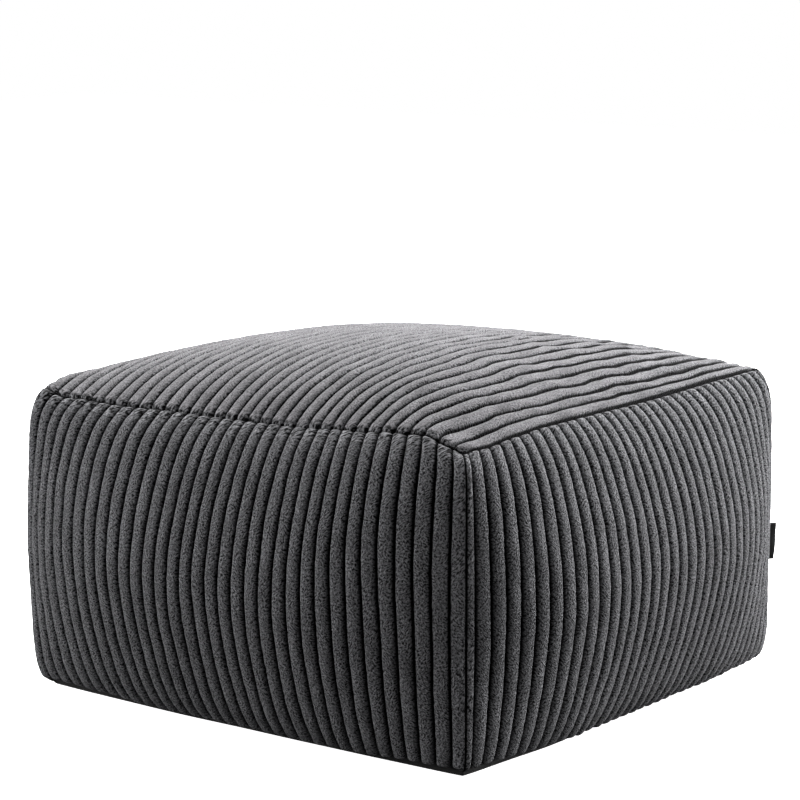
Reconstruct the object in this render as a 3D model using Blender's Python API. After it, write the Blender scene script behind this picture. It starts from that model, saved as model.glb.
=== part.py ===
"""Square floor pouf covered in wide-wale corduroy.

Metres, +Z up, origin on the floor under the middle of the pouf. The front is the -Y side.
One filled body holds the top panel, the four side panels and every rib of the cloth.
A black base panel is sewn under it, and a small folded tab sits in one corner seam.
"""

from math import cos, pi, sin, sqrt

import bmesh
import bpy
import numpy as np

# Cover, sizes in metres
SEAM_SIDE = 0.540          # top seam, from corner to corner
SEAM_HEIGHT = 0.318        # top seam above the floor
SEAM_BOW = 0.003           # how far the top seam bows out between its corners
FACE_BOW = 0.056           # how far a side bows out at half height, beyond its corner seams
CORNER_BULGE = 0.0136      # how far a corner seam stands out at half height
FOOT_SIDE = 0.545          # the sides where they reach the floor, from corner to corner
FOOT_BOW = 0.008           # how far they bow out there
CROWN_LIP = 0.0156         # quick rise of the top panel from its seam
CROWN_DOME = 0.0347        # slow rise from there to the middle

# Powers of the curves: a high one is flat for long and turns late
SIDE_SQUARENESS = 3.34
CORNER_POWER = 11.5
UPPER_BOW_POWER = 1.89
LOWER_BOW_POWER = 1.74
LIP_POWER = 32.0
DOME_POWER = 2.15
CURVE_STEPS = 800          # steps in which a side's plan curve is measured

# Corduroy ribs
RIBS = 34                  # rib widths across each panel
RIB_DEPTH = 0.005          # from the top of a rib to the bottom of its groove
GROOVE_HALF = 0.24         # half the width of a groove, as a share of one rib's pitch
NARROW_FLANK = 0.4         # most of a cut rib's width that each of its flanks takes
CORNER_SINK = 0.006        # how deep a corner seam lies between its two ribs
SEAM_HALF = 0.0010         # half the width of the top seam's own dark line

# Rows of points up a side and along the top, closer where the cloth turns
SIDE_ROWS = (0.045, 0.10, 0.24, 0.41, 0.59, 0.76, 0.90, 0.97)
TOP_ROWS = (-1.0, -0.97, -0.90, -0.72, -0.40, 0.0, 0.40, 0.72, 0.90, 0.97, 1.0)

# Base panel, a black sheet with its rim turned up inside the ends of the ribs
SHEET = 0.002
RIM_HEIGHT = 0.0055
RIM_INSET = RIB_DEPTH + 0.001
BASE_STEPS = 24            # straight steps along each side of the base
GAP = 0.0003               # clearance between two pieces
RIB_END_HEIGHT = RIM_HEIGHT + 0.001
UNDERSIDE_TURN = 0.005     # how far inside the rim the body's underside turns flat

# Side tab, a folded ribbon in the corner seam at +X +Y
TAB_HEIGHT = 0.038
TAB_MIDDLE = 0.137         # middle of the tab above the floor
TAB_REACH = 0.0115         # from the bottom of the seam to the fold
TAB_ROOT = 0.0029          # where the tab starts, from the bottom of the seam
TAB_THICKNESS = 0.0024     # both layers with the slit between them
TAB_SLIT = 0.0004
TAB_FOLD_STEPS = 6

# The four side panels, counter-clockwise from above: the share of a rib that each begins with
SIDE_PANELS = (
    {"side": "front", "first_rib": 1.00},
    {"side": "right", "first_rib": 0.56},
    {"side": "back", "first_rib": 0.80},
    {"side": "left", "first_rib": 0.45},
)


def clear_scene():
    """Removes whatever the scene holds."""
    for old in list(bpy.data.objects):
        bpy.data.objects.remove(old, do_unlink=True)


def make_material(name, colour, roughness):
    """A plain cloth material with a linear colour."""
    material = bpy.data.materials.new(name)
    material.use_nodes = True
    shader = material.node_tree.nodes["Principled BSDF"]
    shader.inputs["Base Color"].default_value = (*colour, 1.0)
    shader.inputs["Roughness"].default_value = roughness
    shader.inputs["Metallic"].default_value = 0.0
    material.diffuse_color = (*colour, 1.0)
    return material


def add_object(name, mesh_builder, material):
    """Makes one smooth-shaded object from a finished bmesh."""
    mesh = bpy.data.meshes.new(name)
    mesh_builder.to_mesh(mesh)
    mesh_builder.free()
    mesh.shade_smooth()
    mesh.materials.append(material)
    made = bpy.data.objects.new(name, mesh)
    bpy.context.scene.collection.objects.link(made)
    return made


def level_shape(up):
    """Half side at the corner seams, and bow of the sides, at a share of the way up to the seam."""
    away = abs(2 * up - 1)
    is_upper = up > 0.5
    end_half = (SEAM_SIDE if is_upper else FOOT_SIDE) / 2
    end_bow = SEAM_BOW if is_upper else FOOT_BOW
    bow_power = UPPER_BOW_POWER if is_upper else LOWER_BOW_POWER
    full_half = SEAM_SIDE / 2 + CORNER_BULGE
    half = end_half + (full_half - end_half) * (1 - away ** CORNER_POWER)
    bow = end_bow + (FACE_BOW - end_bow) * (1 - away ** bow_power)
    return half, bow


def side_outline(half, bow, shares):
    """Points of one side's plan curve at shares of its length, with their outward normals.

    The side lies along X, from -half to half, and its outside is -Y.
    """
    across = np.linspace(-1.0, 1.0, CURVE_STEPS + 1)
    along = half * across
    out = half + bow * (1 - np.abs(across) ** SIDE_SQUARENESS)
    length = np.concatenate([[0.0], np.cumsum(np.hypot(np.diff(along), np.diff(out)))])
    at = np.asarray(shares) * length[-1]
    points = np.stack([np.interp(at, length, along), -np.interp(at, length, out)], axis=1)
    slope = np.interp(at, length, np.gradient(out, along))
    normals = np.stack([-slope, -np.ones_like(slope)], axis=1)
    normals /= np.linalg.norm(normals, axis=1)[:, None]
    return points, normals


def quarter_turn(points, turns):
    """Turns plan points about the middle by quarter turns, counter-clockwise from above."""
    turned = np.asarray(points, float)
    for _ in range(turns):
        turned = np.stack([-turned[:, 1], turned[:, 0]], axis=1)
    return turned


def rib_columns(first_rib):
    """Columns across a panel: share of its width, and how far below the rib tops each lies.

    Each rib has a column on either side of its top, and one in the groove or seam before it.
    """
    grooves = [first_rib + number for number in range(RIBS)]
    bottoms = [0.0, *[groove for groove in grooves if groove < RIBS], float(RIBS)]
    columns = []
    for start, end in zip(bottoms, bottoms[1:]):
        flank = min(GROOVE_HALF, NARROW_FLANK * (end - start))
        columns += [(start, 1.0), (start + flank, 0.0), (end - flank, 0.0)]
    columns.append((float(RIBS), 1.0))
    return [(place / RIBS, depth) for place, depth in columns]


def side_ring(up, relief):
    """One closed ring of plan points round the four sides, at a share of the way up.

    Each entry is (place round the ring, x, y), where the place counts whole sides.
    """
    half, bow = level_shape(up)
    ring = []
    for turns, panel in enumerate(SIDE_PANELS):
        columns = rib_columns(panel["first_rib"])
        shares = [share for share, _ in columns[:-1]]
        depths = np.array([depth for _, depth in columns[:-1]]) * RIB_DEPTH * relief
        points, normals = side_outline(half, bow, shares)
        depths[0] = 0.0
        points = points - normals * depths[:, None]
        corner_inset = CORNER_SINK * relief / sqrt(2)
        points[0] = (-half + corner_inset, -half + corner_inset)
        for share, (x, y) in zip(shares, quarter_turn(points, turns)):
            ring.append((turns + share, x, y))
    return ring


def base_ring(inset):
    """A closed ring of the base's plan, that far inside the sides where they reach the floor."""
    half, bow = level_shape(RIB_END_HEIGHT / SEAM_HEIGHT)
    shares = [step / BASE_STEPS for step in range(BASE_STEPS)]
    points, _ = side_outline(half - inset, bow, shares)
    ring = []
    for turns in range(len(SIDE_PANELS)):
        for share, (x, y) in zip(shares, quarter_turn(points, turns)):
            ring.append((turns + share, x, y))
    return ring


def top_height(x_share, y_share):
    """Height of the top panel's rib tops, at shares of its half width."""
    def swell(power):
        return (1 - abs(x_share) ** power) * (1 - abs(y_share) ** power)
    return SEAM_HEIGHT + CROWN_LIP * swell(LIP_POWER) + CROWN_DOME * swell(DOME_POWER)


def add_ring(builder, ring, height):
    """Adds a ring's points at one height, and returns (place, vertex) pairs."""
    return [(place, builder.verts.new((x, y, height))) for place, x, y in ring]


def join_rings(builder, lower, upper):
    """Fills the band between two closed rings whose points are at different places.

    Both run counter-clockwise from above. The ring whose next point comes first moves on.
    """
    low, high = 0, 0
    low_count, high_count = len(lower), len(upper)
    whole = len(SIDE_PANELS)

    def place(ring, index):
        return ring[index % len(ring)][0] + whole * (index // len(ring))

    def vertex(ring, index):
        return ring[index % len(ring)][1]

    while low < low_count or high < high_count:
        low_next = place(lower, low + 1)
        high_next = place(upper, high + 1)
        moves_low = high >= high_count or (low < low_count and low_next <= high_next)
        if moves_low:
            corners = (vertex(lower, low), vertex(lower, low + 1), vertex(upper, high))
            low += 1
        else:
            corners = (vertex(lower, low), vertex(upper, high + 1), vertex(upper, high))
            high += 1
        builder.faces.new(corners)


def join_matching_rings(builder, lower, upper):
    """Fills the band between two closed rings of the same columns with quads."""
    count = len(lower)
    for index in range(count):
        after = (index + 1) % count
        builder.faces.new((lower[index][1], lower[after][1], upper[after][1], upper[index][1]))


def add_top_panel(builder):
    """Adds the ribbed, crowned top panel, and returns the ring of points along its edge."""
    half = SEAM_SIDE / 2 - SEAM_HALF
    columns = rib_columns(SIDE_PANELS[0]["first_rib"])
    grid = []
    for y_share in TOP_ROWS:
        row = []
        for share, depth in columns:
            x_share = 2 * share - 1
            x = x_share * (half + SEAM_BOW * (1 - abs(y_share) ** SIDE_SQUARENESS))
            y = y_share * (half + SEAM_BOW * (1 - abs(x_share) ** SIDE_SQUARENESS))
            on_edge = abs(x_share) == 1 or abs(y_share) == 1
            sink = 0.0 if on_edge else depth * RIB_DEPTH
            z = top_height(x_share, y_share) + SEAM_HALF - sink
            row.append(builder.verts.new((x, y, z)))
        grid.append(row)
    for near_row, far_row in zip(grid, grid[1:]):
        for left in range(len(columns) - 1):
            right = left + 1
            builder.faces.new((near_row[left], near_row[right], far_row[right], far_row[left]))
    shares = [share for share, _ in columns]
    heights = [(row + 1) / 2 for row in TOP_ROWS]
    front = [(share, vert) for share, vert in zip(shares, grid[0])]
    right_side = [(1 + share, row[-1]) for share, row in zip(heights, grid)]
    back = [(3 - share, vert) for share, vert in zip(shares, grid[-1])][::-1]
    left_side = [(4 - share, row[0]) for share, row in zip(heights, grid)][::-1]
    return front[:-1] + right_side[:-1] + back[:-1] + left_side[:-1]


def make_body(material):
    """The filled cover: ribbed sides, crowned ribbed top, and a flat underside."""
    builder = bmesh.new()
    under_inset = RIM_INSET + SHEET + GAP
    underside = add_ring(builder, base_ring(under_inset + UNDERSIDE_TURN), SHEET + GAP)
    rim_line = add_ring(builder, base_ring(under_inset), RIM_HEIGHT + GAP)
    rib_ends = add_ring(builder, side_ring(RIB_END_HEIGHT / SEAM_HEIGHT, 1.0), RIB_END_HEIGHT)
    builder.faces.new([vert for _, vert in reversed(underside)])
    join_matching_rings(builder, underside, rim_line)
    join_rings(builder, rim_line, rib_ends)
    below = rib_ends
    for up in SIDE_ROWS:
        above = add_ring(builder, side_ring(up, 1.0), up * SEAM_HEIGHT)
        join_matching_rings(builder, below, above)
        below = above
    seam = add_ring(builder, side_ring(1.0, 0.0), SEAM_HEIGHT - SEAM_HALF)
    join_matching_rings(builder, below, seam)
    top_edge = add_top_panel(builder)
    join_rings(builder, seam, top_edge)
    return add_object("pouf_body", builder, material)


def make_base_panel(material):
    """The black base: a flat sheet on the floor whose rim turns up inside the rib ends."""
    builder = bmesh.new()
    section = (
        {"inset": 0.006, "height": 0.0},
        {"inset": 0.002, "height": 0.0012},
        {"inset": 0.000, "height": RIM_HEIGHT},
        {"inset": SHEET, "height": RIM_HEIGHT},
        {"inset": SHEET + 0.0016, "height": 0.0028},
        {"inset": 0.007, "height": SHEET},
    )
    rings = [
        add_ring(builder, base_ring(RIM_INSET + step["inset"]), step["height"])
        for step in section
    ]
    builder.faces.new([vert for _, vert in reversed(rings[0])])
    for lower, upper in zip(rings, rings[1:]):
        join_matching_rings(builder, lower, upper)
    builder.faces.new([vert for _, vert in rings[-1]])
    return add_object("base_panel", builder, material)


def make_side_tab(material):
    """The folded ribbon tab, standing out of the corner seam along the diagonal."""
    half = TAB_THICKNESS / 2
    slit = TAB_SLIT / 2
    fold_centre = TAB_REACH - half
    fold = [
        (fold_centre + half * cos(angle), half * sin(angle))
        for angle in np.linspace(-pi / 2, pi / 2, TAB_FOLD_STEPS + 1)
    ]
    outline = [(TAB_ROOT, -half), *fold, (TAB_ROOT, half)]
    outline += [(TAB_ROOT, slit), (fold_centre, slit), (fold_centre, -slit), (TAB_ROOT, -slit)]
    corner_half, _ = level_shape(TAB_MIDDLE / SEAM_HEIGHT)
    seam_bottom = corner_half - CORNER_SINK / sqrt(2)
    builder = bmesh.new()
    verts = []
    for reach, aside in outline:
        x = seam_bottom + (reach - aside) / sqrt(2)
        y = seam_bottom + (reach + aside) / sqrt(2)
        verts.append(builder.verts.new((x, y, TAB_MIDDLE - TAB_HEIGHT / 2)))
    bottom = builder.faces.new(verts)
    grown = bmesh.ops.extrude_face_region(builder, geom=[bottom])["geom"]
    risen = [item for item in grown if isinstance(item, bmesh.types.BMVert)]
    bmesh.ops.translate(builder, verts=risen, vec=(0.0, 0.0, TAB_HEIGHT))
    bmesh.ops.recalc_face_normals(builder, faces=builder.faces)
    return add_object("side_tab", builder, material)


clear_scene()
make_body(make_material("charcoal corduroy", (0.058, 0.058, 0.060), 0.9))
make_base_panel(make_material("black base cloth", (0.006, 0.006, 0.006), 0.85))
make_side_tab(make_material("black ribbon", (0.005, 0.005, 0.005), 0.6))
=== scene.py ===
"""Square floor pouf in charcoal wide-wale corduroy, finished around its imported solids.

Five padded panels of ribbed cloth stand for the filled body, a black base cloth for the base
panel, and a folded satin ribbon for the side tab. Metres, +Z up, the front is the -Y side.
"""

from math import cos, pi, radians, sin, sqrt

import bpy
import numpy as np
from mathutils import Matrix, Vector


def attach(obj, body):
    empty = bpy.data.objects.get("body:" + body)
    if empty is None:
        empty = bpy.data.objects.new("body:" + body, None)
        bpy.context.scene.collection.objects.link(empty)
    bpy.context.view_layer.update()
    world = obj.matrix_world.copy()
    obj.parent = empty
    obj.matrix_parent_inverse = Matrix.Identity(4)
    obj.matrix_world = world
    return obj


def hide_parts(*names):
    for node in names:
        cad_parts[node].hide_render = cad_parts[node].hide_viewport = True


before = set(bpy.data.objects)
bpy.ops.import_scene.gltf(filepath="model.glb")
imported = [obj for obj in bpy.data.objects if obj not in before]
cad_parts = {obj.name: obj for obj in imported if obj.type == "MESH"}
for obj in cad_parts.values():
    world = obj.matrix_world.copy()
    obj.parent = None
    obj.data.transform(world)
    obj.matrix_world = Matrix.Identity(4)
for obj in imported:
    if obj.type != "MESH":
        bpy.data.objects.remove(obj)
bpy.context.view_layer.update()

RIGHT = np.array([1.0, 0.0, 0.0])
BACK = np.array([0.0, 1.0, 0.0])
UP = np.array([0.0, 0.0, 1.0])

# Filled form, metres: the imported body's with a fuller crown, before PUSHES spreads its foot
SEAM_SIDE = 0.540          # top seam, corner to corner
SEAM_HEIGHT = 0.318        # top seam above the floor
SEAM_BOW = 0.003           # how far the top seam bows out between its corners
FACE_BOW = 0.056           # how far a side bows out at half height
CORNER_BULGE = 0.0136      # how far a corner seam stands out at half height
FOOT_SIDE = 0.545          # the sides at the floor, corner to corner
FOOT_BOW = 0.008
CROWN_LIP = 0.0238         # quick rise of the top from its seam
CROWN_DOME = 0.0319        # slow rise from there to the middle
CROWN_TILT = (0.205, -0.226, -0.066)    # how much fuller to the right, to the back, and in both at once
SIDE_SQUARENESS = 3.34
CORNER_POWER = 11.5
UPPER_BOW_POWER = 1.89
LOWER_BOW_POWER = 1.74
LIP_POWER = 5.5
DOME_POWERS = (2.7, 2.1)   # across the ribs and along them
LIFT_REACH = 0.07          # how far over the top a lifted seam lifts the cloth
LEFT_LIFT_REACH = 0.018    # the same at the left end of the front seam

# Corduroy
RIBS = 34                  # rib widths across each panel
GROOVE_DEPTH = 0.0085      # from the top of a rib to the bottom of its groove
RIB_SECTION = (            # share of a rib's width, share of its height
    (0.0, 0.0), (0.04, 0.12), (0.085, 0.62), (0.135, 0.79), (0.205, 0.895), (0.31, 0.97),
    (0.5, 1.0), (0.69, 0.97), (0.795, 0.895), (0.865, 0.79), (0.915, 0.62), (0.96, 0.12),
)
FULL_RIB_WIDTH = 0.7       # a part rib by a corner seam stands lower if it is narrower than this
RIB_END_RADIUS = 0.0058    # rounding of a rib's end at a seam
NOSE_GROWTH = 0.8          # how much longer that rounding is by the near top corner
FOOT_END_RADIUS = 0.008
SEAM_BLEND = 0.012         # how far from a seam the cloth starts to lean towards it
LUMP_SPREAD = (0.02, 0.03)     # soft lumps of the filling, across the ribs and along them
LUMP_HEIGHT = 0.0006
SLACK_LUMP = 0.0008        # added to them where the top is slack
CLUMP_SPREAD = (0.004, 0.005)  # clumps of pile, across the ribs and along them
CLUMP_HEIGHT = 0.0003
LUMP_FREE = 0.02           # lumps fade out this close to a seam
SLACK_FROM = 0.45          # the top is slacker from this share of its width on
TOP_DRIFT = 0.49           # how far the top's ribs swing to the right of the front's, in rib widths

# Painted shade that each point of the cloth carries in its colour: 0 down in a groove, 1 at its lightest
PAINTED_GROOVE_SHADE = 0.36        # up to here the grooves are painted near black: painted shade over a ground cloth that is darker too
PILE_SHADE = 0.64          # from here on cut pile
SIDE_SHADE = 0.8           # rib tops of the sides; those of the top panel go on to 1 and are painted a little lighter: partly its nap, partly painted light on the top

# Grids of points
SIDE_ROWS = 226
TOP_ROWS = 236
SIDE_ROW_EASE = 0.72       # how much closer together the rows are near the ends than midway
TOP_ROW_EASE = 0.70
BACKING_GRID = (18, 12)    # columns and rows of the panels' smooth inner faces
BACKING_SHARE = 0.90       # the inner faces' distance from the middle, as a share of the outer ones'
MIDDLE = np.array([0.0, 0.0, 0.17])
TABLE_ROWS = 121           # lines along which even places are worked out
CURVE_POINTS = 801         # points that measure each of them
CURVE_SHARES = 401         # even steps kept of each
NOISE_CELLS = 64           # noise repeats after this many
FOOT_POINTS = 60           # points of the base cloth's rim along each side

# Base cloth
BASE_RIM_INSET = 0.0045    # from the foot line to the rim's outer face
BASE_RIM_HEIGHT = 0.0095
BASE_THICKNESS = 0.002
RIM_WAVE = 0.0006          # how unevenly the rim's edge is sewn in
RIM_WAVES = 8              # waves for each side

# Side tab
TAB_REACH = 0.0173         # from its root, which lies inside the seam, to its fold
TAB_SUNK = 0.0015          # how far the root is in
TAB_SLANT = 0.0022         # how far the fold's lower end draws back
TAB_THICKNESS = 0.0024     # both layers
TAB_SLIT = 0.0002          # half the gap between them
TAB_HEIGHT = 0.041
TAB_MIDDLE = 0.132         # height of its middle above the floor
TAB_SWAY = 0.0006

# The four sides, counter-clockwise from above: the share of a rib that each begins with, how
# crumpled its pile is along the top seam, and the seed of its ribs' wander
SIDES = (
    {"name": "front", "first_rib": 1.00, "crumple": 1.0, "seed": 11},
    {"name": "right", "first_rib": 0.56, "crumple": 0.3, "seed": 12},
    {"name": "back", "first_rib": 0.80, "crumple": 0.7, "seed": 13},
    {"name": "left", "first_rib": 0.45, "crumple": 0.3, "seed": 14},
)

# Wander of the ribs: rib widths, over how many rib widths and metres it changes, and its seed,
# which on the sides is added to the side's own
SIDE_WANDER = ((0.07, 4.0, 0.10, 0), (0.025, 1.6, 0.04, 20), (0.016, 0.7, 0.009, 30))

# The top's, where the second number is what slack cloth adds
TOP_WANDER = (
    (0.08, 0.0, 4.0, 0.10, 31), (0.03, 0.07, 6.0, 0.05, 32),
    (0.0, 0.10, 2.2, 0.022, 34), (0.016, 0.0, 0.7, 0.009, 33),
)

# The other patterns' seeds; the sides add their number to the first two
SIDE_LUMP_SEED = 40
SIDE_CLUMP_SEED = 45
TOP_LUMP_SEED = 51
TOP_CLUMP_SEED = 52
GROOVE_SEED = 53
RIB_END_SEED = 61
CORNER_SEED = 64
RIM_SEED = 71

# Share of the ribs' height that is left where they meet the top seam: share along the side, height
SEAM_FULLNESS = {
    "front": ((0.0, 0.3), (0.15, 0.1), (0.3, 0.45), (0.6, 0.6), (0.78, 0.45), (0.9, 0.05), (1.0, 0.0)),
    "right": ((0.0, 0.0), (0.1, 0.15), (0.5, 0.1), (1.0, 0.0)),
    "back": ((0.0, 0.2), (0.3, 0.6), (0.7, 0.7), (1.0, 0.2)),
    "left": ((0.0, 0.0), (0.5, 0.15), (1.0, 0.0)),
}

# Places where the filling or a seam pushes the cloth: middle x, y, z, radius and push x, y, z, in mm
PUSHES = (
    ((-290, -285, 165), 120, (-4.2, -3.2, 0.0)),
    ((-268, -262, 325), 40, (-2.0, -1.5, 3.0)),
    ((-262, -110, 332), 110, (0.0, 0.0, 1.5)),
    ((-262, -185, 330), 70, (0.0, 0.0, 4.0)),
    ((205, 262, 330), 75, (0.0, 0.0, 4.5)),
    ((285, 285, 265), 75, (1.8, 1.8, 0.0)),
    ((-262, 262, 328), 110, (0.0, 0.0, -4.2)),
    ((60, 262, 332), 130, (0.0, 0.0, 1.8)),
    ((268, -268, 318), 11, (-4.0, 4.0, -4.0)),
    ((262, -262, 335), 10, (0.5, -0.5, 1.6)),
    ((240, -262, 335), 12, (0.0, -1.0, 2.2)),
    ((252, -240, 336), 12, (0.0, 0.0, -2.6)),
    ((-70, -290, 0), 75, (2.4, -3.2, 0.0)),
    ((60, -290, 0), 75, (3.0, -4.0, 0.0)),
    ((170, -290, 0), 75, (4.2, -5.6, 0.0)),
    ((280, -260, 0), 75, (7.8, -10.4, 0.0)),
    ((290, -130, 0), 75, (10.6, -13.0, 0.0)),
    ((290, 0, 0), 75, (8.4, -9.6, 0.0)),
    ((290, 130, 0), 75, (7.2, -8.0, 0.0)),
    ((285, 260, 0), 75, (7.5, -5.5, 0.0)),
)

# Height of the top seam over its mean: share along the side, millimetres
SEAM_LIFTS = {
    "front": (
        (0.0, 1.0), (0.05, -4.5), (0.10, -2.0), (0.22, -2.2), (0.30, -0.4), (0.40, -0.5),
        (0.60, 0.8), (0.76, 5.3), (0.86, 9.4), (0.91, 10.7), (0.965, 2.5), (1.0, 0.0),
    ),
    "right": ((0.0, 0.0), (0.07, -2.0), (0.15, 2.0), (0.25, 4.8), (0.6, 4.5), (0.8, 6.0), (1.0, 5.0)),
    "back": ((0.0, 6.0), (0.3, 1.0), (0.7, 3.5), (1.0, 4.0)),
    "left": ((0.0, 4.0), (0.25, 4.0), (0.6, 1.5), (0.78, 5.0), (0.93, 8.5), (1.0, 1.0)),
}

# Height of the rib ends over the floor: share along the side, millimetres
FOOT_HEIGHTS = {
    "front": (
        (0.0, 4.0), (0.06, 6.0), (0.2, 5.0), (0.3, 2.2), (0.7, 1.6), (0.8, 2.5), (0.9, 5.5), (1.0, 6.5),
    ),
    "right": ((0.0, 6.5), (0.1, 6.0), (0.22, 4.0), (0.35, 1.6), (0.8, 1.6), (1.0, 2.5)),
    "back": ((0.0, 2.5), (0.1, 4.0), (0.3, 1.8), (0.7, 2.0), (0.9, 4.0), (1.0, 3.0)),
    "left": ((0.0, 3.0), (0.15, 4.5), (0.35, 1.8), (0.8, 2.0), (1.0, 2.5)),
}

# Sideways drift of the front's ribs over the even spacing: share along the side, rib widths
FRONT_DRIFT_HIGH = ((0.0, 0.0), (0.12, -0.1), (0.38, 0.36), (0.62, 0.05), (0.83, -0.38), (1.0, 0.0))
FRONT_DRIFT_LOW = ((0.0, 0.0), (0.23, 0.42), (0.45, 0.1), (0.7, -0.05), (0.85, -0.05), (1.0, 0.0))
FRONT_DRIFT_CHANGE = 0.12  # height where the low drift starts to turn into the high one


def smooth(value):
    """Eases a share from 0 to 1."""
    share = np.clip(value, 0.0, 1.0)
    return share * share * (3 - 2 * share)


def soft_table(pairs, at):
    """Reads a short table of (place, value) pairs with eased steps between its rows."""
    places = np.array([pair[0] for pair in pairs])
    values = np.array([pair[1] for pair in pairs])
    at = np.asarray(at, float)
    row = np.clip(np.searchsorted(places, at, side="right") - 1, 0, len(places) - 2)
    share = smooth((at - places[row]) / (places[row + 1] - places[row]))
    return values[row] + (values[row + 1] - values[row]) * share


def soft_noise(x, y, seed):
    """Smooth repeatable noise from -1 to 1, with features about one unit across."""
    lattice = np.random.default_rng(seed).uniform(-1, 1, (NOISE_CELLS, NOISE_CELLS))
    left, low = np.floor(x).astype(int), np.floor(y).astype(int)
    across, along = smooth(x - left), smooth(y - low)

    def at(right, up):
        return lattice[(left + right) % NOISE_CELLS, (low + up) % NOISE_CELLS]

    near = at(0, 0) + (at(1, 0) - at(0, 0)) * across
    far = at(0, 1) + (at(1, 1) - at(0, 1)) * across
    return near + (far - near) * along


def level_shape(up):
    """Half side at the corner seams and bow of the sides, at shares of the way up."""
    away = np.abs(2 * up - 1)
    upper = up > 0.5
    end_half = np.where(upper, SEAM_SIDE, FOOT_SIDE) / 2
    end_bow = np.where(upper, SEAM_BOW, FOOT_BOW)
    power = np.where(upper, UPPER_BOW_POWER, LOWER_BOW_POWER)
    full_half = SEAM_SIDE / 2 + CORNER_BULGE
    half = end_half + (full_half - end_half) * (1 - away ** CORNER_POWER)
    bow = end_bow + (FACE_BOW - end_bow) * (1 - away ** power)
    return half, bow


def side_curve(across, up):
    """Outline of one side from above, at a share of the way up: distances right and out."""
    half, bow = level_shape(up)
    return half * across, half + bow * (1 - np.abs(across) ** SIDE_SQUARENESS)


def crown_rise(x, y):
    """Height of the top over its seams, at places from -1 to 1 across and away."""
    right, away, both = CROWN_TILT
    lip = (1 - np.abs(x) ** LIP_POWER) * (1 - np.abs(y) ** LIP_POWER)
    dome = (1 - np.abs(x) ** DOME_POWERS[0]) * (1 - np.abs(y) ** DOME_POWERS[1])
    return (CROWN_LIP * lip + CROWN_DOME * dome) * (1 + right * x + away * y + both * x * y)


def crown_curve(across, away):
    """A line over the crown from left to right: distances right and up."""
    return across * SEAM_SIDE / 2, crown_rise(across, away)


def even_places(curve, lines):
    """Table of even steps along a curve, a row for each line: its places from -1 to 1."""
    across = np.linspace(-1, 1, CURVE_POINTS)
    shares = np.linspace(0, 1, CURVE_SHARES)
    rows = []
    for line in lines:
        right, out = curve(across, line)
        length = np.concatenate([[0.0], np.cumsum(np.hypot(np.diff(right), np.diff(out)))])
        rows.append(np.interp(shares * length[-1], length, across))
    return np.array(rows)


EVEN_ON_SIDE = even_places(side_curve, np.linspace(0, 1, TABLE_ROWS))
EVEN_ON_CROWN = even_places(crown_curve, np.linspace(-1, 1, TABLE_ROWS))


def across_at(table, share, up):
    """Reads a table of even places, between its rows and columns."""
    row = np.clip(up, 0, 1) * (table.shape[0] - 1)
    column = np.clip(share, 0, 1) * (table.shape[1] - 1)
    r = np.minimum(row.astype(int), table.shape[0] - 2)
    c = np.minimum(column.astype(int), table.shape[1] - 2)
    low = table[r, c] + (table[r, c + 1] - table[r, c]) * (column - c)
    high = table[r + 1, c] + (table[r + 1, c + 1] - table[r + 1, c]) * (column - c)
    return low + (high - low) * (row - r)


def pushed(points):
    """Moves points by the soft pushes, the same for every panel, so that seams stay shut."""
    moved = np.array(points, float)
    for middle, radius, push in PUSHES:
        away = np.linalg.norm(points - np.array(middle) / 1000, axis=-1) / (radius / 1000)
        moved += np.exp(-away ** 2)[..., None] * np.array(push) / 1000
    return moved


def turn_about(points, turns):
    """Turns points about the middle by quarter turns, counter-clockwise from above."""
    turned = np.array(points, float)
    for _ in range(turns):
        turned = np.stack([-turned[..., 1], turned[..., 0], turned[..., 2]], axis=-1)
    return turned


def unit(vectors):
    """Vectors of length 1."""
    return vectors / np.linalg.norm(vectors, axis=-1, keepdims=True)


def surface_normals(points):
    """Outward normals of a grid whose first axis runs across and second runs up."""
    return unit(np.cross(np.gradient(points, axis=0), np.gradient(points, axis=1)))


def run_length(points, axis):
    """Distance along each line of the grid from its start."""
    steps = np.linalg.norm(np.diff(points, axis=axis), axis=-1)
    start = np.zeros_like(np.take(steps, [0], axis=axis))
    return np.concatenate([start, np.cumsum(steps, axis=axis)], axis=axis)


def rib_grid(first_rib, row_count, ease):
    """Grids of the place in rib widths, the way along the rib, and the height of the rib there."""
    bottoms = [0.0, *[first_rib + n for n in range(RIBS) if first_rib + n < RIBS - 0.05], float(RIBS)]
    places, heights = [], []
    for start, end in zip(bottoms, bottoms[1:]):
        width = end - start
        tallness = min(1.0, (width / FULL_RIB_WIDTH) ** 0.5)
        for phase, section in RIB_SECTION:
            places.append(start + width * phase)
            heights.append(tallness * section)
    places.append(float(RIBS))
    heights.append(0.0)
    even = np.linspace(0, 1, row_count)
    rows = even - ease * np.sin(2 * pi * even) / (2 * pi)
    place, along = np.meshgrid(places, rows, indexing="ij")
    return place, along, np.repeat(np.array(heights)[:, None], row_count, axis=1)


def end_rounding(distance, radius, least):
    """Height of a rib by its distance from its blunt end: least at the seam, 1 beyond the rounding."""
    share = np.clip(distance / radius, 0, 1)
    return least + (1 - least) * (1 - (1 - share) ** 2) ** 0.7


def seam_fullness(side_name, place):
    """Height left at the seam, a little different for each rib."""
    uneven = 0.15 * soft_noise(place / 1.2, 0 * place, RIB_END_SEED)
    return np.clip(soft_table(SEAM_FULLNESS[side_name], place / RIBS) + uneven, 0, 1)


def groove_lean(normal, own, end, flank, from_end, from_flank):
    """Directions in which grooves sink: square to the cloth, and midway between panels at a seam."""
    to_end = smooth(1 - from_end / SEAM_BLEND)[..., None]
    to_flank = smooth(1 - from_flank / SEAM_BLEND)[..., None]
    return unit(
        normal * (1 - to_end) * (1 - to_flank)
        + unit(own + end) * to_end * (1 - to_flank)
        + unit(own + flank) * to_flank * (1 - to_end)
        + unit(own + end + flank) * to_end * to_flank
    )


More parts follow.
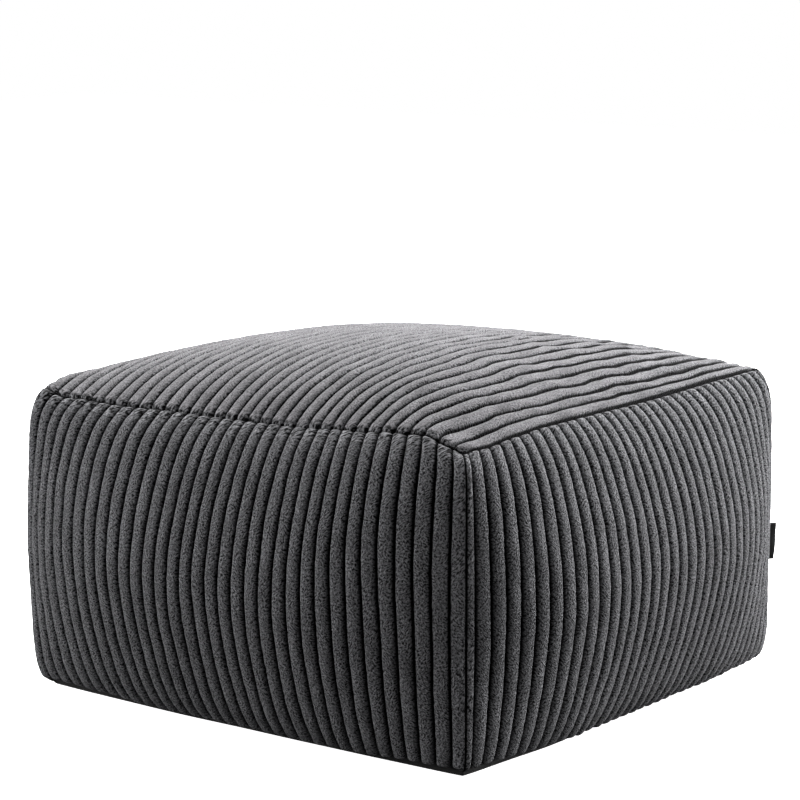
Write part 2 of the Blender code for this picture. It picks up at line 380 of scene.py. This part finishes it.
def groove_depth(crown, texture, from_seam, lump_height, lump_seed, clump_seed):
    """How deep each point lies under the smooth form, with lumps of filling and pile on the ribs."""
    width, along = texture[..., 0], texture[..., 1]
    lump = soft_noise(width / LUMP_SPREAD[0], along / LUMP_SPREAD[1], lump_seed) * lump_height
    clump = soft_noise(width / CLUMP_SPREAD[0], along / CLUMP_SPREAD[1], clump_seed) * CLUMP_HEIGHT
    return GROOVE_DEPTH * (1 - crown) - (lump + clump) * crown * smooth(from_seam / LUMP_FREE)


def side_base(side, share, rise):
    """Points of one side's smooth form. rise goes from 0 at the rib ends to 1 at the seam."""
    foot = soft_table(FOOT_HEIGHTS[side["name"]], share) / 1000
    lift = soft_table(SEAM_LIFTS[side["name"]], share) / 1000
    up_low = foot / SEAM_HEIGHT
    up = up_low + (1 - up_low) * rise
    right, out = side_curve(across_at(EVEN_ON_SIDE, share, up), up)
    return np.stack([right, -out, up * SEAM_HEIGHT + lift * up ** 3], axis=-1)


def side_warp(side, place, along):
    """Sideways wander of the ribs, in rib widths; along runs from the floor."""
    wander = 0.0
    for widths, ribs, metres, seed in SIDE_WANDER:
        wander = wander + widths * soft_noise(place / ribs, along / metres, side["seed"] + seed)
    if side["name"] == "front":
        upper = smooth((along - FRONT_DRIFT_CHANGE) / FRONT_DRIFT_CHANGE)
        wander = wander + soft_table(FRONT_DRIFT_HIGH, place / RIBS) * upper
        wander = wander + soft_table(FRONT_DRIFT_LOW, place / RIBS) * (1 - upper)
    return wander * smooth(np.minimum(place, RIBS - place) / 2.0)


def make_side(turns, side):
    """One ribbed side panel as grids: points, smooth form, texture places, shade, nearness of a seam."""
    place, rise, height = rib_grid(side["first_rib"], SIDE_ROWS, SIDE_ROW_EASE)
    share = (place + side_warp(side, place, rise * SEAM_HEIGHT)) / RIBS
    base = side_base(side, share, rise)
    from_foot = run_length(base, 1)
    from_seam = from_foot[:, -1:] - from_foot
    from_left = run_length(base, 0)
    from_right = from_left[-1:] - from_left
    from_corner = np.minimum(from_left, from_right)
    texture = np.stack([from_left, from_foot], axis=-1)
    ends = end_rounding(from_seam, RIB_END_RADIUS, seam_fullness(side["name"], place))
    ends = ends * end_rounding(from_foot, FOOT_END_RADIUS, 0.0)
    crown = height * ends
    neighbour = np.where((from_left < from_right)[..., None], -RIGHT, RIGHT)
    lean = groove_lean(surface_normals(base), -BACK, UP, neighbour, from_seam, from_corner)
    seeds = (SIDE_LUMP_SEED + turns, SIDE_CLUMP_SEED + turns)
    depth = groove_depth(crown, texture, from_seam, LUMP_HEIGHT, *seeds)
    points = base - lean * depth[..., None]
    # the pile is crumpled along the top seam, and in patches down the corner seams
    near = side["crumple"] * np.exp(-(from_seam / 0.016) ** 2)
    patches = smooth(1.2 * soft_noise(0 * place, from_foot / 0.018, CORNER_SEED) + 0.6)
    near = np.maximum(near, 0.45 * np.exp(-(from_corner / 0.011) ** 4) * patches)
    # the shade handed on is painted shade: dark down the grooves and where the rib ends round into the
    # seams
    return pushed(turn_about(points, turns)), turn_about(base, turns), texture, SIDE_SHADE * crown, near


def top_warp(place, along):
    """Sideways wander of the top panel's ribs, in rib widths; along runs from the front seam."""
    loose = smooth((place / RIBS - SLACK_FROM) / 0.4)
    wander = 0.0
    for widths, loose_widths, ribs, metres, seed in TOP_WANDER:
        noise = soft_noise(place / ribs, along / metres, seed)
        wander = wander + (widths + loose_widths * loose) * noise
    drift = soft_table(FRONT_DRIFT_HIGH, place / RIBS)
    far = SEAM_SIDE - along
    wander = wander * smooth(along / 0.05) * smooth(far / 0.03) + drift * smooth(1 - along / 0.16)
    # at the front seam each rib meets the front's
    front_wander = side_warp(SIDES[0], place, np.full_like(along, SEAM_HEIGHT)) - drift
    wander = wander + front_wander * smooth(1 - along / 0.06)
    swing = TOP_DRIFT * smooth(along / 0.16) * smooth(far / 0.10)
    edge = np.minimum(place, RIBS - place)
    return wander * smooth(edge / 2.0) + swing * smooth(edge / 2.4)


def top_base(share, away):
    """Points of the top panel's smooth form. share runs along X and away along Y, from 0 to 1."""
    x_share = across_at(EVEN_ON_CROWN, share, away)
    y_share = 2 * away - 1
    half = SEAM_SIDE / 2
    bow_x = SEAM_BOW * (1 - np.abs(y_share) ** SIDE_SQUARENESS)
    bow_y = SEAM_BOW * (1 - np.abs(x_share) ** SIDE_SQUARENESS)
    x = x_share * (half + bow_x)
    y = y_share * half + np.sign(y_share) * bow_y * np.abs(y_share)
    front_reach = LEFT_LIFT_REACH + (LIFT_REACH - LEFT_LIFT_REACH) * smooth(share / 0.35)
    # for each seam: distance from it, place along it, and how far its lifts reach
    seams = {
        "front": (away * SEAM_SIDE, share, front_reach),
        "right": ((1 - share) * SEAM_SIDE, away, LIFT_REACH),
        "back": ((1 - away) * SEAM_SIDE, 1 - share, LIFT_REACH),
        "left": (share * SEAM_SIDE, 1 - away, LIFT_REACH),
    }
    total, weight = 0.0, 0.0
    for name, (gap, place, reach) in seams.items():
        pull = 1 / (gap + 1e-6) ** 2
        total = total + pull * soft_table(SEAM_LIFTS[name], place) / 1000 * np.exp(-gap / reach)
        weight = weight + pull
    z = SEAM_HEIGHT + crown_rise(x_share, y_share) + total / weight
    return np.stack([x, y, z], axis=-1)


def top_shade(place, away, height, slack, from_front, from_end):
    """Painted shade of the top's ribs: grooves painted as thin dark lines where shade falls, wider where
    it is slack and to the back.
    """
    uneven = soft_noise(place / 1.5, from_front / 0.05, GROOVE_SEED)
    dark_below = 0.69 + (0.07 + 0.03 * uneven) * slack + 0.10 * smooth((away - 0.3) / 0.5)
    lined = PAINTED_GROOVE_SHADE + (1 - PAINTED_GROOVE_SHADE) * np.clip((height - dark_below) / 0.12, 0, 1)
    return height + (lined - height) * smooth(from_end / 0.02)


def make_top():
    """The ribbed, crowned top panel as the same grids, its ribs running along Y."""
    place, away, height = rib_grid(SIDES[0]["first_rib"], TOP_ROWS, TOP_ROW_EASE)
    share = (place + top_warp(place, away * SEAM_SIDE)) / RIBS
    base = top_base(share, away)
    from_front = run_length(base, 1)
    from_back = from_front[:, -1:] - from_front
    from_left = run_length(base, 0)
    from_right = from_left[-1:] - from_left
    from_end = np.minimum(from_front, from_back)
    texture = np.stack([from_left, from_front], axis=-1)
    nose = RIB_END_RADIUS * (1 + NOSE_GROWTH * smooth((place / RIBS - 0.78) / 0.1))
    ends = end_rounding(from_front, nose, seam_fullness("front", place))
    ends = ends * end_rounding(from_back, RIB_END_RADIUS, seam_fullness("back", RIBS - place))
    end_out = np.where((from_front < from_back)[..., None], -BACK, BACK)
    flank_out = np.where((from_left < from_right)[..., None], -RIGHT, RIGHT)
    from_flank = np.minimum(from_left, from_right)
    lean = groove_lean(surface_normals(base), UP, end_out, flank_out, from_end, from_flank)
    slack = smooth((place / RIBS - SLACK_FROM) / 0.35)
    lump_height = LUMP_HEIGHT + SLACK_LUMP * slack
    depth = groove_depth(height * ends, texture, from_end, lump_height, TOP_LUMP_SEED, TOP_CLUMP_SEED)
    points = base - lean * depth[..., None]
    # painted shade: dark grooves, and dark where the rib ends round down into the seams
    shade = top_shade(place, away, height, slack, from_front, from_end) * ends
    near = np.exp(-(from_end / 0.009) ** 2)
    return pushed(points), base, texture, shade, near


def border(grid):
    """The grid's edge as one loop, counter-clockwise seen from outside."""
    return np.concatenate([grid[:-1, 0], grid[-1, :-1], grid[:0:-1, -1], grid[0, :0:-1]])


def loop_places(columns, rows):
    """Where each point of such a loop lies, counting its four sides."""
    across = np.linspace(0, 1, columns)
    along = np.linspace(0, 1, rows)
    return np.concatenate([across[:-1], 1 + along[:-1], 3 - across[:0:-1], 4 - along[:0:-1]])


def zip_loops(outer, outer_places, inner, inner_places):
    """Triangles between two loops of different counts, walked together by place."""
    faces = []
    o, i = 0, 0
    while o < len(outer) or i < len(inner):
        outer_next = outer_places[(o + 1) % len(outer)] + 4 * ((o + 1) // len(outer))
        inner_next = inner_places[(i + 1) % len(inner)] + 4 * ((i + 1) // len(inner))
        here_outer, here_inner = outer[o % len(outer)], inner[i % len(inner)]
        if i >= len(inner) or (o < len(outer) and outer_next <= inner_next):
            faces.append((here_outer, here_inner, outer[(o + 1) % len(outer)]))
            o += 1
        else:
            faces.append((here_outer, here_inner, inner[(i + 1) % len(inner)]))
            i += 1
    return np.array(faces, int)


def grid_quads(index):
    """Quads of a grid of point numbers, facing outwards."""
    corners = [index[:-1, :-1], index[1:, :-1], index[1:, 1:], index[:-1, 1:]]
    return np.stack(corners, axis=-1).reshape(-1, 4)


def add_piece(name, mesh, material):
    """Puts a finished mesh into the scene."""
    mesh.shade_smooth()
    mesh.materials.append(material)
    piece = bpy.data.objects.new(name, mesh)
    bpy.context.scene.collection.objects.link(piece)
    return piece


def add_panel(name, material, points, base, texture, shade, near):
    """Builds a closed padded panel: the ribbed face, its seam allowances, and a smooth inner face."""
    columns, rows = points.shape[:2]
    picked = np.ix_(
        np.unique(np.linspace(0, columns - 1, BACKING_GRID[0]).astype(int)),
        np.unique(np.linspace(0, rows - 1, BACKING_GRID[1]).astype(int)),
    )
    inner = MIDDLE + (base[picked] - MIDDLE) * BACKING_SHARE
    inner_count = inner.shape[0] * inner.shape[1]
    index = np.arange(columns * rows).reshape(columns, rows)
    inner_index = columns * rows + np.arange(inner_count).reshape(inner.shape[:2])
    quads = np.concatenate([grid_quads(index), grid_quads(inner_index)[:, ::-1]])
    walls = zip_loops(
        border(index), loop_places(columns, rows),
        border(inner_index), loop_places(*inner.shape[:2]),
    )
    vertices = np.concatenate([points.reshape(-1, 3), inner.reshape(-1, 3)])
    corners = np.concatenate([quads.ravel(), walls.ravel()])
    starts = np.concatenate([np.arange(len(quads)) * 4, quads.size + np.arange(len(walls)) * 3])
    mesh = bpy.data.meshes.new(name)
    mesh.vertices.add(len(vertices))
    mesh.vertices.foreach_set("co", vertices.ravel())
    mesh.loops.add(len(corners))
    mesh.loops.foreach_set("vertex_index", corners)
    mesh.polygons.add(len(starts))
    mesh.polygons.foreach_set("loop_start", starts)
    mesh.update(calc_edges=True)
    mesh.validate()
    places = np.concatenate([texture.reshape(-1, 2), texture[picked].reshape(-1, 2)])
    layer = mesh.uv_layers.new(name="cloth_metres")
    layer.data.foreach_set("uv", places[corners].ravel())
    for label, values in (("rib_shade", shade), ("seam_near", near)):
        attribute = mesh.attributes.new(label, "FLOAT", "POINT")
        attribute.data.foreach_set("value", np.concatenate([values.ravel(), np.zeros(inner_count)]))
    return add_piece(name, mesh, material)


def add_cloth(name, material, loops):
    """Adds a closed thin piece through loops of as many points each, with both end loops filled in."""
    count = len(loops[0])
    faces = []
    for row in range(len(loops) - 1):
        for n in range(count):
            here = row * count + n
            beside = row * count + (n + 1) % count
            faces.append((here, beside, beside + count, here + count))
    last = (len(loops) - 1) * count
    faces.append(tuple(range(count))[::-1])
    faces.append(tuple(range(last, last + count)))
    mesh = bpy.data.meshes.new(name)
    mesh.from_pydata(np.concatenate(loops).tolist(), [], faces)
    mesh.validate()
    return add_piece(name, mesh, material)


def foot_loop(inset):
    """The sides' outline at the floor, moved in by the inset, counter-clockwise from above."""
    across = np.linspace(-1, 1, FOOT_POINTS + 1)[:-1]
    across = np.sign(across) * (1 - (1 - np.abs(across)) ** 1.5)
    half = FOOT_SIDE / 2 - inset
    out = half + FOOT_BOW * (1 - np.abs(across) ** SIDE_SQUARENESS)
    front = np.stack([half * across, -out, np.zeros_like(out)], axis=-1)
    return np.concatenate([turn_about(front, turns) for turns in range(4)])


def make_base_sheet(material):
    """The base cloth: a flat sheet under the pouf whose rim turns up into the bottom seam."""
    rim, top, thick = BASE_RIM_INSET, BASE_RIM_HEIGHT, BASE_THICKNESS
    # inset from the foot line, height: from the middle of the underside out, up and back in
    section = (
        (0.24, 0.0), (0.12, 0.0), (0.03, 0.0), (rim + 0.003, 0.0), (rim + 0.001, 0.0008), (rim, 0.0025),
        (rim, top * 0.7), (rim + 0.0006, top), (rim + 0.0016, top),
        (rim + 0.002, 0.0035), (rim + 0.004, thick), (0.03, thick), (0.12, thick), (0.24, thick),
    )
    rings = []
    for inset, height in section:
        ring = foot_loop(inset)
        around = np.linspace(0, 4 * RIM_WAVES, len(ring), endpoint=False)
        wave = soft_noise(around, np.full_like(around, 3.0), RIM_SEED) * RIM_WAVE
        ring[:, 2] = height + (wave if height > top / 2 else 0.0)
        ring[:, :2] = pushed(ring)[:, :2]
        rings.append(ring)
    return add_cloth("base_cloth_sheet", material, rings)


def make_tab(material):
    """The ribbon tab: folded once, its two ends sewn into the corner seam."""
    half_thick = TAB_THICKNESS / 2
    corner = SEAM_SIDE / 2 + CORNER_BULGE - GROOVE_DEPTH / sqrt(2)
    bend = np.linspace(-pi / 2, pi / 2, 13)
    loops = []
    for row in np.linspace(0, 1, 25):
        edge = 1 - 0.35 * smooth((abs(2 * row - 1) - 0.9) / 0.1)
        tip = TAB_REACH - TAB_SLANT * (1 - row) ** 2
        fold = tip - half_thick
        slit_end = tip - TAB_THICKNESS + TAB_SLIT
        outer = np.stack([fold + half_thick * np.cos(bend), half_thick * edge * np.sin(bend)], axis=-1)
        inner = np.stack([slit_end + TAB_SLIT * np.cos(bend), TAB_SLIT * edge * np.sin(bend)], axis=-1)
        start, end = [[0.0, -half_thick * edge]], [[0.0, half_thick * edge]]
        inner_start, inner_end = [[0.0, -TAB_SLIT * edge]], [[0.0, TAB_SLIT * edge]]
        loop = np.concatenate([start, outer, end, inner_end, inner[::-1], inner_start])
        height = TAB_MIDDLE - TAB_HEIGHT / 2 + row * TAB_HEIGHT
        sway = TAB_SWAY * sin(9 * (height - TAB_MIDDLE) / TAB_HEIGHT)
        along, aside = loop[:, :1] - TAB_SUNK, loop[:, 1:] + sway
        seam_point = np.array([corner, corner, height])
        loops.append(seam_point + unit(RIGHT + BACK) * along + unit(BACK - RIGHT) * aside)
    return add_cloth("ribbon_tab", material, loops)


def linear(hex_colour):
    """Turns an sRGB hex colour into the linear values that a shader takes."""
    channels = [int(hex_colour[i:i + 2], 16) / 255 for i in (1, 3, 5)]
    return tuple(c / 12.92 if c <= 0.04045 else ((c + 0.055) / 1.055) ** 2.4 for c in channels) + (1.0,)


def add_node(tree, kind, settings=(), inputs=(), links=()):
    """Adds a node, sets its properties and input values, and links outputs to its inputs."""
    node = tree.nodes.new(kind)
    for key, value in dict(settings).items():
        setattr(node, key, value)
    for key, value in dict(inputs).items():
        node.inputs[key].default_value = value
    for key, output in dict(links).items():
        tree.links.new(output, node.inputs[key])
    return node


def new_material(name):
    """A material with an empty node tree."""
    material = bpy.data.materials.new(name)
    material.use_nodes = True
    material.node_tree.nodes.clear()
    return material, material.node_tree


# Sizes of the pile in metres, and the scales of two weaves
LEAN_PATCH = 0.02                  # patches in which the tufts lean one way
TUFT = (0.0014, 0.0024)            # tufts of pile, drawn coarser than real ones, which wouldn't show
CRUMPLED_TUFT = (0.0024, 0.0048)   # the same where the pile is crumpled by a seam
BRUSHED_PATCH = (0.012, 0.05)      # patches brushed lighter or darker
PILE_BUMP = 0.0030                 # relief of the tufts
THREAD_SCALE = 625.0               # puts the base cloth's threads 0.5 mm apart
RIDGE_SCALE = 2500 / 3             # puts the ribbon's ridges 0.4 mm apart


def corduroy_material():
    """Jumbo corduroy, a cotton and polyester cut pile woven in wide wales and sheared round.

    The eye sees a charcoal pile with a soft sheen along its edges, brushed lighter and darker in
    patches, short slanting tufts, and grooves painted near black: painted shade over a darker ground
    cloth.
    """
    material, tree = new_material("charcoal cut-pile corduroy")
    place = add_node(tree, "ShaderNodeUVMap", {"uv_map": "cloth_metres"}).outputs["UV"]
    shade = add_node(tree, "ShaderNodeAttribute", {"attribute_name": "rib_shade"}).outputs["Fac"]
    near = add_node(tree, "ShaderNodeAttribute", {"attribute_name": "seam_near"}).outputs["Fac"]

    def tufts(turn, size):
        """Noise drawn out into tufts of a size, turned by degrees."""
        laid = add_node(
            tree, "ShaderNodeMapping", {"vector_type": "TEXTURE"},
            {"Rotation": (0, 0, radians(turn)), "Scale": (*size, 1)}, {"Vector": place},
        )
        return add_node(
            tree, "ShaderNodeTexNoise", {"noise_dimensions": "2D"},
            {"Scale": 1.0, "Detail": 2.0, "Roughness": 0.6}, {"Vector": laid.outputs["Vector"]},
        ).outputs["Fac"]

    leaning = add_node(
        tree, "ShaderNodeTexNoise", {"noise_dimensions": "2D"},
        {"Scale": 0.5 / LEAN_PATCH, "Detail": 1.0}, {"Vector": place},
    ).outputs["Fac"]
    choose = add_node(
        tree, "ShaderNodeMapRange", {}, {"From Min": 0.42, "From Max": 0.58}, {"Value": leaning},
    ).outputs["Result"]
    grain = add_node(
        tree, "ShaderNodeMix", {"data_type": "FLOAT"}, {},
        {"Factor": choose, "A": tufts(45, TUFT), "B": tufts(-40, TUFT)},
    ).outputs["Result"]
    crumple = add_node(
        tree, "ShaderNodeMapRange", {"clamp": False},
        {"From Min": 0.3, "From Max": 0.7, "To Min": 0.1, "To Max": 0.9},
        {"Value": tufts(-35, CRUMPLED_TUFT)},
    ).outputs["Result"]
    raised = add_node(
        tree, "ShaderNodeMix", {"data_type": "FLOAT"}, {}, {"Factor": near, "A": grain, "B": crumple},
    ).outputs["Result"]
    grain_tone = add_node(
        tree, "ShaderNodeMapRange", {},
        {"From Min": 0.36, "From Max": 0.66, "To Min": 0.05, "To Max": 2.3}, {"Value": raised},
    ).outputs["Result"]
    # the top's pile is brushed smoother than the sides', so its tufts show less
    calm = add_node(
        tree, "ShaderNodeMapRange", {},
        {"From Min": SIDE_SHADE, "From Max": 1.0, "To Min": 0.0, "To Max": 0.45}, {"Value": shade},
    ).outputs["Result"]
    calm_tone = add_node(
        tree, "ShaderNodeMix", {"data_type": "FLOAT"}, {"B": 1.1}, {"Factor": calm, "A": grain_tone},
    ).outputs["Result"]
    bump_strength = add_node(
        tree, "ShaderNodeMath", {"operation": "SUBTRACT"}, {0: 1.0}, {1: calm},
    ).outputs[0]
    brushed_tone = add_node(
        tree, "ShaderNodeMapRange", {"clamp": False},
        {"From Min": 0.3, "From Max": 0.7, "To Min": 0.85, "To Max": 1.15},
        {"Value": tufts(8, BRUSHED_PATCH)},
    ).outputs["Result"]
    tone = add_node(
        tree, "ShaderNodeMath", {"operation": "MULTIPLY"}, {}, {0: calm_tone, 1: brushed_tone},
    ).outputs[0]
    grey = add_node(
        tree, "ShaderNodeCombineColor", {}, {}, {"Red": tone, "Green": tone, "Blue": tone},
    ).outputs["Color"]
    # painted shade: the colour runs to near black down in the grooves and where rib ends round into a seam
    ramp = add_node(tree, "ShaderNodeValToRGB", links={"Fac": shade})
    stops = ramp.color_ramp.elements
    stops[0].position, stops[0].color = PAINTED_GROOVE_SHADE, linear("#060607")
    stops[1].position, stops[1].color = PILE_SHADE, linear("#505052")
    stops.new(SIDE_SHADE).color = linear("#505052")
    # the top panel's rib tops: a little lighter, partly its nap and partly painted light on the top
    stops.new(1.0).color = linear("#545355")
    colour = add_node(
        tree, "ShaderNodeMix", {"data_type": "RGBA", "blend_type": "MULTIPLY"}, {"Factor": 1.0},
        {"A": ramp.outputs["Color"], "B": grey},
    ).outputs["Result"]
    bump = add_node(
        tree, "ShaderNodeBump", {}, {"Distance": PILE_BUMP}, {"Height": raised, "Strength": bump_strength},
    ).outputs["Normal"]
    shader = add_node(
        tree, "ShaderNodeBsdfPrincipled", {},
        {"Roughness": 0.9, "Sheen Weight": 0.1, "Sheen Roughness": 0.3,
         "Sheen Tint": linear("#cac9ca"), "Specular IOR Level": 0.05},
        {"Base Color": colour, "Normal": bump},
    )
    add_node(tree, "ShaderNodeOutputMaterial", links={"Surface": shader.outputs["BSDF"]})
    return material


def base_cloth_material():
    """Plain polyester base cloth, woven tight: dull black with a faint cross of threads."""
    material, tree = new_material("black woven base cloth")
    place = add_node(tree, "ShaderNodeTexCoord").outputs["Object"]
    warp, weft = (
        add_node(
            tree, "ShaderNodeTexWave", {"bands_direction": direction},
            {"Scale": THREAD_SCALE, "Distortion": 0.6}, {"Vector": place},
        ).outputs["Fac"]
        for direction in ("X", "Y")
    )
    cross = add_node(
        tree, "ShaderNodeMath", {"operation": "MAXIMUM"}, links={0: warp, 1: weft},
    ).outputs[0]
    colour = add_node(
        tree, "ShaderNodeMix", {"data_type": "RGBA"},
        {"A": linear("#020202"), "B": linear("#0a0a0a")}, {"Factor": cross},
    ).outputs["Result"]
    bump = add_node(
        tree, "ShaderNodeBump", {}, {"Strength": 0.4, "Distance": 0.0003}, {"Height": cross},
    ).outputs["Normal"]
    shader = add_node(
        tree, "ShaderNodeBsdfPrincipled", {}, {"Roughness": 0.85}, {"Base Color": colour, "Normal": bump},
    )
    add_node(tree, "ShaderNodeOutputMaterial", links={"Surface": shader.outputs["BSDF"]})
    return material


def ribbon_material():
    """Polyester satin ribbon, woven narrow: near black with a low gloss across its ridges."""
    material, tree = new_material("black satin ribbon")
    place = add_node(tree, "ShaderNodeTexCoord").outputs["Object"]
    ridges = add_node(
        tree, "ShaderNodeTexWave", {"bands_direction": "Z"},
        {"Scale": RIDGE_SCALE, "Distortion": 0.3}, {"Vector": place},
    ).outputs["Fac"]
    colour = add_node(
        tree, "ShaderNodeMix", {"data_type": "RGBA"},
        {"A": linear("#050505"), "B": linear("#101010")}, {"Factor": ridges},
    ).outputs["Result"]
    bump = add_node(
        tree, "ShaderNodeBump", {}, {"Strength": 0.3, "Distance": 0.0002}, {"Height": ridges},
    ).outputs["Normal"]
    shader = add_node(
        tree, "ShaderNodeBsdfPrincipled", {}, {"Roughness": 0.5}, {"Base Color": colour, "Normal": bump},
    )
    add_node(tree, "ShaderNodeOutputMaterial", links={"Surface": shader.outputs["BSDF"]})
    return material


corduroy = corduroy_material()
panels = []
for turns, side in enumerate(SIDES):
    panels.append(add_panel(side["name"] + "_panel", corduroy, *make_side(turns, side)))
panels.append(add_panel("top_panel", corduroy, *make_top()))
for panel in panels:
    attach(panel, "root")
    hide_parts("pouf_body")

base_sheet = make_base_sheet(base_cloth_material())
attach(base_sheet, "root")
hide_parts("base_panel")

tab = make_tab(ribbon_material())
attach(tab, "root")
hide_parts("side_tab")

# Stage: a pale floor, soft lights, and the camera at the photo's angle
FLOOR_SIDE = 12.0
ROOM_LIGHT = 0.16          # strength of the even light from all round
LIGHT_AIM = (0, 0, 0.2)
CAMERA_AZIMUTH = 36.94     # degrees round from the front
CAMERA_ELEVATION = 9.997
CAMERA_DISTANCE = 3.2506
CAMERA_FOCUS_PIXELS = 3045.9
PHOTO_PIXELS = 800
SENSOR_WIDTH = 36.0        # millimetres
CAMERA_AIM_ASIDE = -0.0073
CAMERA_AIM_HEIGHT = 0.2984

# Soft lights: metres to the right of the camera's line, away from the camera, up; size; watts
LIGHTS = (
    ("back_high", 0.0, 2.0, 2.4, (2.0, 1.2), 95),
    ("back_left", -1.2, 2.0, 1.4, (1.2, 1.2), 30),
    ("overhead", 0.0, 0.6, 2.4, (1.4, 1.4), 53),
    ("overhead_back", 0.6, 1.4, 2.4, (1.2, 1.2), 84),
    ("left_edge", -2.0, 0.7, 0.9, (1.0, 1.6), 46),
    ("left_side", -2.2, -0.2, 0.7, (0.8, 1.4), 25),
    ("left_front", -2.0, -1.0, 1.2, (1.2, 1.6), 34),
    ("right_rim", 1.9, 1.6, 1.0, (0.4, 1.4), 52),
    ("right_high", 1.5, 1.6, 1.9, (0.8, 1.2), 8),
    ("right_side", 2.0, 0.8, 0.9, (0.6, 1.6), 88),
    ("right_low", 2.2, 0.2, 0.9, (0.6, 1.6), 53),
    ("right_front", 2.0, -1.0, 1.2, (1.2, 1.6), 27),
)


def make_floor():
    """A plain white floor that adds no light of its own to the piece."""
    bpy.ops.mesh.primitive_plane_add(size=FLOOR_SIDE, location=(0.0, 0.0, 0.0))
    floor = bpy.context.object
    floor.name = "studio_floor"
    material, tree = new_material("white studio floor")
    shader = add_node(
        tree, "ShaderNodeBsdfPrincipled", {},
        {"Base Color": linear("#f4f4f4"), "Roughness": 0.9,
         "Emission Color": (1, 1, 1, 1), "Emission Strength": 1.0},
    )
    add_node(tree, "ShaderNodeOutputMaterial", links={"Surface": shader.outputs["BSDF"]})
    floor.data.materials.append(material)
    floor.visible_diffuse = False
    floor.visible_glossy = False


def add_area_light(name, place, size, power):
    """A soft rectangular light, aimed at the piece."""
    light = bpy.data.lights.new(name, "AREA")
    light.shape = "RECTANGLE"
    light.size, light.size_y = size
    light.energy = power
    lamp = bpy.data.objects.new(name, light)
    lamp.location = place
    lamp.rotation_euler = (Vector(LIGHT_AIM) - place).to_track_quat("-Z", "Y").to_euler()
    bpy.context.scene.collection.objects.link(lamp)


def make_lights():
    """Places the lights about the camera's line of sight."""
    turn = radians(CAMERA_AZIMUTH)
    view_right = Vector((cos(turn), sin(turn), 0))
    view_away = Vector((-sin(turn), cos(turn), 0))
    for name, right, away, height, size, power in LIGHTS:
        add_area_light(name, view_right * right + view_away * away + Vector((0, 0, height)), size, power)


def make_camera():
    """The camera at the photo's angle and distance."""
    turn, tilt = radians(CAMERA_AZIMUTH), radians(CAMERA_ELEVATION)
    back = Vector((sin(turn) * cos(tilt), -cos(turn) * cos(tilt), sin(tilt)))
    aim = Vector((CAMERA_AIM_ASIDE * cos(turn), CAMERA_AIM_ASIDE * sin(turn), CAMERA_AIM_HEIGHT))
    data = bpy.data.cameras.new("studio_camera")
    data.sensor_width = SENSOR_WIDTH
    data.lens = CAMERA_FOCUS_PIXELS * SENSOR_WIDTH / PHOTO_PIXELS
    data.clip_start, data.clip_end = 0.1, 50.0
    camera = bpy.data.objects.new("studio_camera", data)
    camera.location = aim + back * CAMERA_DISTANCE
    camera.rotation_euler = (-back).to_track_quat("-Z", "Y").to_euler()
    bpy.context.scene.collection.objects.link(camera)
    bpy.context.scene.camera = camera


def make_world():
    """A white backdrop to the eye, and an even low light on the piece."""
    world = bpy.data.worlds.new("studio_world")
    bpy.context.scene.world = world
    world.use_nodes = True
    tree = world.node_tree
    tree.nodes.clear()
    seen = add_node(tree, "ShaderNodeLightPath").outputs["Is Camera Ray"]
    even = add_node(tree, "ShaderNodeBackground", {}, {"Color": (1, 1, 1, 1), "Strength": ROOM_LIGHT})
    white = add_node(tree, "ShaderNodeBackground", {}, {"Color": (1, 1, 1, 1), "Strength": 1.0})
    mixed = add_node(
        tree, "ShaderNodeMixShader", {}, {},
        {"Fac": seen, 1: even.outputs["Background"], 2: white.outputs["Background"]},
    )
    add_node(tree, "ShaderNodeOutputWorld", {}, {}, {"Surface": mixed.outputs["Shader"]})


make_floor()
make_camera()
make_lights()
make_world()
bpy.context.scene.view_settings.view_transform = "Standard"
